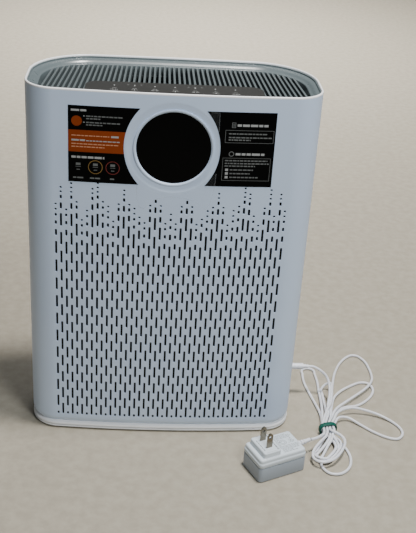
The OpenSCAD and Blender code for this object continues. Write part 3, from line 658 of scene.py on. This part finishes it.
def label_prints():
    """Plain bars, rings and boxes where the labels have their print."""
    rng = np.random.default_rng(4)
    bright, dim = [], []
    # Left label: a heading, two short notes, an orange band and three round marks.
    bright += words(-94.9, -79.5, 356.6, 1.9, rng, 8)
    for x1, z in ((-47, 351.3), (-68, 348.9), (-50, 345.3), (-66, 342.9)):
        dim += words(-81, x1, z, 1.15, rng)
    bright += [(-83.4, -82.4, 350.8, 351.8), (-83.4, -82.4, 344.8, 345.8)]
    bright += words(-94.6, -64, 311.3, 2.1, rng, 7)
    for x0, x1 in ((-93.2, -83), (-77.3, -67), (-58.6, -54)):
        dim += words(x0, x1, 290.8, 1.4, rng, 6)
    for x in (-88.3, -72.3, -56.2):
        for half, z0, z1 in ((2.2, 303.2, 305.6), (2.4, 301.6, 302.1), (1.6, 298.6, 299.3)):
            dim.append((x - half, x + half, z0, z1))
    # Right label: two headings with boxed notes under them.
    bright += words(57.8, 86.5, 348.4, 2.2, rng, 8) + words(57.8, 85, 320.3, 2.2, rng, 8)
    dim += [(52.7, 56.3, 346.0, 346.5), (52.7, 56.3, 350.6, 351.1)]
    dim += [(52.7, 53.2, 346.5, 350.6), (55.8, 56.3, 346.5, 350.6)]
    dim += [(53.6, 55.4, z, z + 0.4) for z in (349.2, 348.2, 347.2)]
    for x1, z in ((87, 340.2), (90.5, 336.6), (71, 334.2)):
        dim += words(50.3, x1, z, 1.2, rng)
    for x1, z in ((88.5, 313.8), (90, 311.0), (77, 308.4)):
        dim += words(48.2, x1, z, 1.2, rng)
    for x1, z in ((76, 304.6), (72.5, 300.9), (80.5, 297.1)):
        bright.append((49.0, 51.8, z - 1.2, z + 1.2))
        dim += words(53.4, x1, z, 1.2, rng)
    for x0, x1, z0, z1 in ((47, 92.4, 331.3, 343.7), (46, 91.4, 293.7, 316.5)):
        line = 0.35
        dim += [(x0, x1, z0, z0 + line), (x0, x1, z1 - line, z1)]
        dim += [(x0, x0 + line, z0, z1), (x1 - line, x1, z0, z1)]
    print_marks("label_headings", bright, ink_bright, INK_AT)
    print_marks("label_lines", dim, ink_dim, INK_AT)
    print_quads("label_rings_grey", arc_marks(53.9, 320.4, 2.2, 0.7), ink_dim, INK_AT)
    print_quads("label_ring_amber", arc_marks(-72.3, 301.9, 6.5, 0.55), ink_amber, INK_AT)
    print_quads("label_ring_red", arc_marks(-56.2, 301.9, 6.3, 0.5), ink_red, INK_AT)
    # The orange band runs up to the curved edge beside the display.
    strips = []
    for z in np.arange(BAND_Z0, BAND_Z1, 1.0):
        z1 = min(z + 1.0, BAND_Z1)
        edge = [BAND_CX - math.sqrt(BAND_R ** 2 - (q - DISPLAY_Z) ** 2) - 0.15 for q in (z, z1)]
        xs = [LABEL_X0 + (e - LABEL_X0) * t for t in np.linspace(0, 1, 9) for e in edge]
        for k in range(0, 16, 2):
            strips.append([(xs[k], z), (xs[k + 2], z), (xs[k + 3], z1), (xs[k + 1], z1)])
    print_quads("label_band", strips, ink_orange, BAND_AT)
    disc = []
    for a in np.arange(0, 6.28, 0.2):
        arc = [(math.cos(t), math.sin(t)) for t in (a, a + 0.1, a + 0.2)]
        disc.append([(DISC_X, DISC_Z)] + [(DISC_X + DISC_R * c, DISC_Z + DISC_R * s) for c, s in arc])
    print_quads("label_disc", disc, ink_orange, BAND_AT)
    notes = []
    for x1, z in ((-59.6, 332.4), (-51, 324.3), (-64, 321.5)):
        notes += words(-94.5, x1, z, 1.0, rng)
    print_marks("band_lines", notes, ink_peach, BAND_INK_AT)
    bold = [(-58, -51, 331.5, 333.3)] + words(-94.5, -82, 327.9, 1.7, rng, 9)
    bold += words(-81, -50, 327.6, 1.0, rng)
    print_marks("band_bold", bold, ink_bright, BAND_INK_AT)


FILM_EDGE = [
    (3, 361), (41, 360), (41.5, 330), (41, 300), (40, 284), (37, 270), (33, 263), (29, 266), (22, 271.5),
    (10, 274.5), (-4, 275), (-15, 272), (-22, 266.5), (-26, 262), (-31, 264), (-33, 272), (-34, 300),
    (-33.5, 330), (-33, 361.5)]
FILM_X, FILM_HOLE, FILM_BORDER = -2.0, 46.2, 0.5


def clear_film():
    """The clear film still stuck round the display, with its lower edge in an arch, and a painted highlight
    along its edge.
    """
    outer = []
    for k in range(len(FILM_EDGE)):
        (xa, za), (xb, zb) = FILM_EDGE[k], FILM_EDGE[(k + 1) % len(FILM_EDGE)]
        outer += [(xa + (xb - xa) * t, za + (zb - za) * t) for t in np.linspace(0, 1, 6)[:-1]]
    sheet, border = [], []
    for k in range(len(outer)):
        pair = outer[k], outer[(k + 1) % len(outer)]
        reach = [math.hypot(x - FILM_X, z - DISPLAY_Z) for x, z in pair]
        if min(reach) < FILM_HOLE + 0.6:
            continue
        rays = []
        for (x, z), r in zip(pair, reach):
            shares = [q / r for q in (*np.linspace(FILM_HOLE, r - FILM_BORDER, 5), r)]
            rays.append([(FILM_X + (x - FILM_X) * q, DISPLAY_Z + (z - DISPLAY_Z) * q) for q in shares])
        for j in range(4):
            sheet.append([rays[0][j], rays[1][j], rays[1][j + 1], rays[0][j + 1]])
        border.append([rays[0][4], rays[1][4], rays[1][5], rays[0][5]])
    print_quads("film_sheet", sheet, clear, FILM_AT)
    print_quads("film_border", border, film_edge_painted_highlight, FILM_AT)


# ---- Control panel ----

ICON_PITCH, ICON_Y, LAMP_Y = 19.0, -31.2, -20


def flat_quads(name, shapes, look, z, place=None):
    """Flat printed shapes lying at height z; place turns their plan coordinates into the frame's."""
    verts = [(*(place(x, y) if place else (x, y)), z) for points in shapes for x, y in points]
    ends = np.cumsum([0] + [len(points) for points in shapes])
    faces = [tuple(range(ends[k], ends[k + 1])) for k in range(len(shapes))]
    return shaped(name, verts, faces, look, smooth=False)


def panel_icons():
    """Seven generic touch marks, each with a small lamp above it, and two short rows of dashes."""
    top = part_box("control_panel")[1][2] / MM + 0.04
    y = ICON_Y
    lamps, marks = [], []
    for k in range(-3, 4):
        x = ICON_PITCH * k
        lamps.append([(x + 0.7 * math.cos(a), LAMP_Y + math.sin(a)) for a in np.arange(0, 6.28, 0.45)])
        marks += arc_marks(x, y + 0.8, 2.2, 0.35, 20, 160, 12)
        if k in (-3, 3):
            marks += [bar(x - 3.4 + 1.5 * j, x - 2.6 + 1.5 * j, y - 2.8, y - 1.4) for j in range(5)]
        elif k in (-1, 1):
            for side in (-1.9, 1.9):
                marks += arc_marks(x + side, y - 1.2, 1.1, 0.35, 0, 360, 12)
        else:
            marks += [bar(x - 3.2, x - 1.2, y - 1.8, y - 1.4), bar(x - 0.5, x + 0.6, y - 2.6, y - 0.6),
                      bar(x + 1.3, x + 3.2, y - 1.8, y - 1.4)]
    for k in (-2, 1):
        for x in (ICON_PITCH * k + 6.2 * j for j in (-1, 0, 1)):
            lamps.append(bar(x - 0.9, x + 0.9, -17.6, -17.1))
    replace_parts(flat_quads("panel_marks", marks, icon, top), "touch_icons")
    flat_quads("panel_lamps", lamps, icon, top)


# ---- Adapter ----

ADAPTER_AT, ADAPTER_TURN = (115.6, -116.3), math.radians(25.2)
CORNER_POINTS, LEAST_CORNER = 9, 0.3
# Sections are (inset, height). The lower case takes the first LOWER_RINGS steps of the case's section, and
# their sides are coloured darker as painted shade.
CASE_SECTION = [
    (1.6, 0.0), (0.6, 0.25), (0.15, 0.9), (0.0, 1.8), (0.0, 16.3), (0.15, 16.7), (0.55, 16.9),
    (0.85, 17.0), (0.85, 17.5), (0.5, 17.6), (0.15, 17.8), (0.0, 18.2), (0.0, 21.6), (0.3, 22.2),
    (0.75, 22.6), (0.9, 23.2), (0.95, 24.8), (1.15, 25.8), (1.7, 26.5), (2.5, 26.9), (3.4, 27.0)]
BOSS_SECTION = [
    (-0.9, 26.9), (-0.3, 27.25), (0.0, 27.9), (0.0, 31.6), (0.25, 32.4), (0.8, 32.85), (1.5, 33.0)]
LOWER_RINGS = 8
PRINT_ON = 0.03


def on_adapter(x, y):
    """The frame's x and y of a point in the adapter's own plan."""
    c, s = math.cos(ADAPTER_TURN), math.sin(ADAPTER_TURN)
    return ADAPTER_AT[0] + c * x - s * y, ADAPTER_AT[1] + s * x + c * y


def round_box(w, d, r, inset):
    """A rectangle with round corners, drawn inset inside its outline; a corner never gets quite sharp."""
    bend = max(r - inset, LEAST_CORNER)
    pts = []
    for q, (cx, cy) in enumerate(((1, 1), (-1, 1), (-1, -1), (1, -1))):
        for k in range(CORNER_POINTS):
            a = math.pi / 2 * (q + k / (CORNER_POINTS - 1))
            pts.append((cx * (w / 2 - inset - bend) + bend * math.cos(a),
                        cy * (d / 2 - inset - bend) + bend * math.sin(a)))
    return pts


def adapter_solid(name, w, d, r, section, middle_x, darker):
    """A moulded box, closed at the bottom and the top, with the first few steps of its section darker as
    painted shade.
    """
    n = 4 * CORNER_POINTS
    verts = []
    for inset, z in section:
        verts += [(*on_adapter(x + middle_x, y), z) for x, y in round_box(w, d, r, inset)]
    faces = ring_faces(len(section), n, False)
    faces += [tuple(reversed(range(n))), tuple(range(len(verts) - n, len(verts)))]
    shade = (adapter_lower, range(darker * n)) if darker else None
    obj = shaped(name, verts, faces, adapter, shade=shade)
    auto_smooth(obj, 40)
    return obj


def case_marks():
    """Rows of dashes on the case, with a ring and a dot among them."""
    rng = np.random.default_rng(9)
    ring_x, ring_y = 9.6, 1.5
    marks = []
    for y in np.arange(-13.2, 13.6, 1.75):
        x, stop = 2.2 + rng.uniform(0, 0.8), rng.uniform(13, 24)
        while x < stop:
            w = rng.uniform(1.0, 3.2)
            if not (5 < x < 15 and abs(y - ring_y) < 5):
                marks.append(bar(x, min(x + w, 24.5), y - 0.36, y + 0.36))
            x += w + 0.6
    marks += arc_marks(ring_x, ring_y, 3.7, 0.5) + arc_marks(ring_x, ring_y, 2.1, 0.5)
    marks.append(bar(19.5, 20.9, 4.2, 5.6))
    return marks


def boss_marks():
    """Two rows of dashes beside the blades, and lines along three edges of the boss."""
    right = ((-12.6, 2.4), (-9.6, 3.4), (-5.6, 2.0), (-3.0, 3.0), (0.7, 2.2), (3.5, 3.2), (7.4, 2.0),
             (10, 2.6))
    left = ((-10, 3), (-6, 2.2), (-3, 3.4), (1.4, 2.6), (5, 3))
    marks = [bar(-5.4, -4.3, y, y + w) for y, w in right] + [bar(-19.3, -18.4, y, y + w) for y, w in left]
    marks += [bar(-19.0, -5.0, -13.7, -13.45), bar(-19.0, -5.0, 13.45, 13.7), bar(-3.9, -3.65, -13.5, 13.5)]
    return marks


def adapter_case():
    case = adapter_solid("adapter_case", 55.2, 36, 4, CASE_SECTION, 0, LOWER_RINGS)
    adapter_solid("adapter_boss", 20, 30, 2.5, BOSS_SECTION, -12, 0)
    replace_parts(case, "adapter_lower", "adapter_upper")
    for name, marks, section in (("adapter_marks", case_marks(), CASE_SECTION),
                                 ("boss_marks", boss_marks(), BOSS_SECTION)):
        flat_quads(name, marks, ink_grey, section[-1][1] + PRINT_ON, place=on_adapter)
    for n in ("adapter_blades", "adapter_relief", "plug_grip"):
        bevelled(n, 0.25)


# ---- Cord ----

# The cord passes under the tie in 4 columns and 3 rows. LEAD comes from the plug, each PETAL is a loop on
# the purifier's side of the tie, and each TURN is one on the near side.
PASS_X, PASS_Z = (175.6, 179.2, 182.8, 186.4), (2.9, 6.2, 9.5)
LEAD = [
    (167, 18.5, 36.5), (170, 18.5, 36.5), (174, 18, 36), (181, 16, 33), (188, 14, 27), (191.5, 8, 20),
    (191, -3, 14), (188, -18, 11), (184, -36, 10)]
PETAL_A = [
    (187, -40, 9), (190, -20, 8), (195, 2, 7), (200, 28, 5), (207, 55, 3), (217, 79, 1.8),
    (229, 95, 1.6), (240, 99, 1.6), (249, 87, 1.6), (252, 68, 1.6), (251, 48, 2.5), (245, 32, 4.8),
    (236, 20, 5), (222, 6, 5), (209, -7, 5.5), (197, -20, 6), (189, -36, 6.3)]
PETAL_B = [
    (188, -36, 4), (192, -16, 4), (198, 4, 3.6), (208, 19, 2.5), (221, 31, 1.6), (234, 39, 1.6),
    (244, 38, 1.6), (248, 27, 1.6), (244, 14, 1.6), (234, 1, 1.6), (222, -8, 1.6), (208, -12, 2),
    (196, -22, 2.6), (189, -42, 2.9)]
PETAL_C = [
    (190, -44, 9), (195, -33, 9), (205, -24, 8.5), (217, -21, 8), (231, -23, 6), (245, -28, 3.6),
    (257, -37, 1.8), (264, -49, 1.6), (264, -60, 1.6), (257, -68, 1.6), (246, -66, 1.6), (232, -56, 1.6),
    (220, -44, 2), (208, -35, 4.2), (197, -37, 6), (190, -48, 6.2)]
PETAL_D = [
    (177, -42, 3), (178, -26, 2.6), (175, -5, 2), (171, 17, 1.6), (168, 38, 1.6), (169, 58, 1.6),
    (175, 69, 1.6), (182, 61, 1.6), (184, 42, 1.6), (183, 20, 2), (182, -2, 3.6), (180, -24, 5.4),
    (177, -44, 6.2)]
PETAL_E = [
    (182, -40, 3), (185, -22, 3), (185.5, 0, 3), (186, 16, 3.4), (189, 26, 5), (194, 26, 9),
    (196, 14, 11.4), (193, -4, 11.4), (187, -24, 11), (179, -44, 10)]
TURN_1 = [
    (176, -76, 9.8), (167, -88, 9.6), (159, -101, 8.6), (158, -112, 8), (166, -118, 8), (179, -113, 8.2),
    (190, -99, 9.6), (195, -84, 10), (191, -73, 10)]
TURN_2 = [
    (180, -76, 6.2), (171, -90, 5), (163, -103, 4.8), (167, -112, 4.8), (178, -107, 5), (188, -93, 5),
    (192, -80, 4.6), (188, -71, 3.4)]
TURN_3 = [
    (186, -74, 6), (189, -86, 4), (184, -99, 2.6), (173, -109, 1.8), (164, -106, 1.8), (164, -94, 2),
    (171, -80, 2.4)]
TURN_4 = [
    (173, -77, 5.6), (166, -91, 5.4), (161, -103, 5.2), (166, -111, 5.2), (176, -104, 5), (185, -90, 5),
    (184, -76, 3.6)]
TURN_5 = [
    (191, -74, 2.6), (197, -88, 1.6), (199, -103, 1.6), (195, -118, 1.6), (185, -128, 1.6),
    (173, -128, 1.6), (166, -117, 1.6), (168, -104, 1.6), (174, -91, 2.6), (181, -79, 6.4)]
TO_ADAPTER = [(174, -73, 10.5), (169, -80, 12.5), (163, -87, 15), (157, -90.6, 16)]
CORD_D = 3.0
TIE_AT, TIE_TURN = (181, -58, 6.5), math.radians(13)
TIE_W, TIE_T, TIE_FUZZ = 5.4, 1.3, 0.16
# Half the bundle's size across and up, and how square its section is.
BUNDLE_X, BUNDLE_Z, BUNDLE_SQUARE = 8.9, 5.6, 2.8


def down(col, row):
    """A pass under the tie, towards the near side."""
    return [(PASS_X[col], y, PASS_Z[row]) for y in (-52, -59, -66)]


def up(col, row):
    """The same pass, away from the near side."""
    return down(col, row)[::-1]


def settle(points, d, held):
    """Lets a stiff cord relax: even links, no tight bend, no turn in another, nothing under the floor."""
    x, home, n = points.copy(), points.copy(), len(points)
    step = np.linalg.norm(np.diff(x, axis=0), axis=1).mean()
    spaced = 1.03 * d
    free = np.where(held, 0.0, 1.0)
    i, j = np.triu_indices(n, int(np.ceil(2.6 * d / step)))
    for r in range(300):
        for gap, least, most in ((1, step, step), (2, 1.94 * step, 2 * step), (4, 3.72 * step, 4 * step)):
            a, b = np.arange(0, n - gap), np.arange(gap, n)
            v = x[b] - x[a]
            size = np.linalg.norm(v, axis=1)
            w = free[a] + free[b] + 1e-9
            push = ((np.clip(size, least, most) - size) / size * 0.5)[:, None] * v
            np.add.at(x, a, -push * (free[a] / w)[:, None])
            np.add.at(x, b, push * (free[b] / w)[:, None])
        if r % 3 == 0:
            close = ((x[j] - x[i]) ** 2).sum(1) < (1.6 * d) ** 2
            ci, cj = i[close], j[close]
        v = x[cj] - x[ci]
        size = np.linalg.norm(v, axis=1) + 1e-6
        hit = size < spaced
        push = ((spaced - size[hit]) / size[hit] * 0.3)[:, None] * v[hit]
        np.add.at(x, ci[hit], -push * free[ci[hit]][:, None])
        np.add.at(x, cj[hit], push * free[cj[hit]][:, None])
        x += 0.004 * (home - x) * free[:, None]
        x[:, 2] = np.maximum(x[:, 2], d / 2 + 0.05)
    return x


def make_cord():
    """The whole cord along its listed route, relaxed so that its turns lie beside each other."""
    route = (LEAD + down(1, 2) + TURN_1 + up(2, 2) + PETAL_A + down(2, 1) + TURN_2 + up(2, 0) + PETAL_B
             + down(3, 0) + TURN_5 + up(3, 2) + PETAL_C + down(3, 1) + TURN_3 + up(0, 0) + PETAL_D
             + down(0, 1) + TURN_4 + up(1, 0) + PETAL_E + down(0, 2) + TO_ADAPTER)
    x = resample(smooth_route(route, 8), 3.0)
    order = np.arange(len(x))
    held = (abs(x[:, 1] - TIE_AT[1]) < 4) & (x[:, 0] < 190) & (x[:, 2] < 11)
    held |= (order < 4) | (order > len(x) - 3)
    line = resample(smooth_route(settle(x, CORD_D, held), 3), 1.2) * MM
    data = bpy.data.curves.new("cord", "CURVE")
    data.dimensions = "3D"
    data.bevel_depth = CORD_D / 2 * MM
    data.bevel_resolution = 3
    data.use_fill_caps = True
    spline = data.splines.new("POLY")
    spline.points.add(len(line) - 1)
    spline.points.foreach_set("co", np.column_stack([line, np.ones(len(line))]).ravel())
    spline.use_smooth = True
    data.materials.append(cord_white)
    obj = link("power_cord", data)
    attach(obj, "housing")
    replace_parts(obj, "cord_lead", "cord_hank", "adapter_lead")


def twist_tie():
    """A flat fuzzy band round the bundle, a little askew, that bulges over the turns inside it."""
    rng = np.random.default_rng(2)
    n, rows = 72, 9
    turn_c, turn_s = math.cos(TIE_TURN), math.sin(TIE_TURN)
    verts = []
    for side in (0, 1):
        for k in range(rows):
            y = (k / (rows - 1) - 0.5) * TIE_W
            crown = side * TIE_T * (1 - 0.35 * (2 * abs(y) / TIE_W) ** 4)
            for a in np.linspace(0, 2 * math.pi, n + 1)[:-1]:
                across, up_way = abs(math.cos(a)) / BUNDLE_X, abs(math.sin(a)) / BUNDLE_Z
                r = (across ** BUNDLE_SQUARE + up_way ** BUNDLE_SQUARE) ** (-1 / BUNDLE_SQUARE)
                r += crown + side * rng.uniform(-TIE_FUZZ, TIE_FUZZ)
                x = r * math.cos(a)
                verts.append((TIE_AT[0] + x * turn_c - y * turn_s, TIE_AT[1] + x * turn_s + y * turn_c,
                              max(TIE_AT[2] + r * math.sin(a), 0.15)))
    faces = []
    for side in (0, 1):
        q = ring_faces(rows, n, False, side * rows * n)
        faces += q if side == 0 else [f[::-1] for f in q]
    top = rows * n
    for first, flip in ((0, False), ((rows - 1) * n, True)):
        for k in range(n):
            q = (first + k, first + (k + 1) % n, top + first + (k + 1) % n, top + first + k)
            faces.append(q[::-1] if flip else q)
    obj = shaped("cord_tie", verts, faces, tie_green)
    auto_smooth(obj, 60)
    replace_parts(obj, "twist_tie")
    return obj


# ---- Everything in place ----

front_shell()
top_parts()
label_prints()
clear_film()
panel_icons()
plinth_rim()
adapter_case()
tie = twist_tie()
make_cord()


# ---- Studio ----

def stage():
    """A plain pale floor, a dim sky, a lamp overhead, a soft one in front and one for the far floor."""
    mesh = bpy.data.meshes.new("floor")
    mesh.from_pydata([(-6, -6, 0), (6, -6, 0), (6, 6, 0), (-6, 6, 0)], [], [(0, 1, 2, 3)])
    floor = link("floor", mesh)
    mesh.materials.append(material("floor", (0.38, 0.345, 0.275), (0.33, 0.298, 0.232), 0.7,
                                   grain=0.3, grain_scale=220, shade_scale=90))
    world = bpy.data.worlds.new("world")
    bpy.context.scene.world = world
    world.use_nodes = True
    world.node_tree.nodes["Background"].inputs["Color"].default_value = (0.74, 0.84, 1.0, 1)
    world.node_tree.nodes["Background"].inputs["Strength"].default_value = 0.08

    def area(name, at, aim, size, power, color, spread=180):
        data = bpy.data.lights.new(name, "AREA")
        data.shape = "DISK"
        data.size, data.energy, data.color = size, power, color
        data.spread = math.radians(spread)
        obj = bpy.data.objects.new(name, data)
        obj.location = at
        obj.rotation_mode = "QUATERNION"
        obj.rotation_quaternion = (Vector(aim) - Vector(at)).to_track_quat("-Z", "Y")
        bpy.context.scene.collection.objects.link(obj)

    area("overhead", (0.30, -0.12, 1.9), (0, 0, 0.1), 0.30, 42, (1.0, 0.97, 0.93))
    area("front_right", (0.50, -0.90, 1.30), (0, 0, 0.25), 0.40, 12.5, (0.93, 0.97, 1.0))
    area("far_floor", (0.1, 1.7, 1.7), (0.1, 1.75, 0), 1.0, 34, (1.0, 0.98, 0.95), 100)


stage()
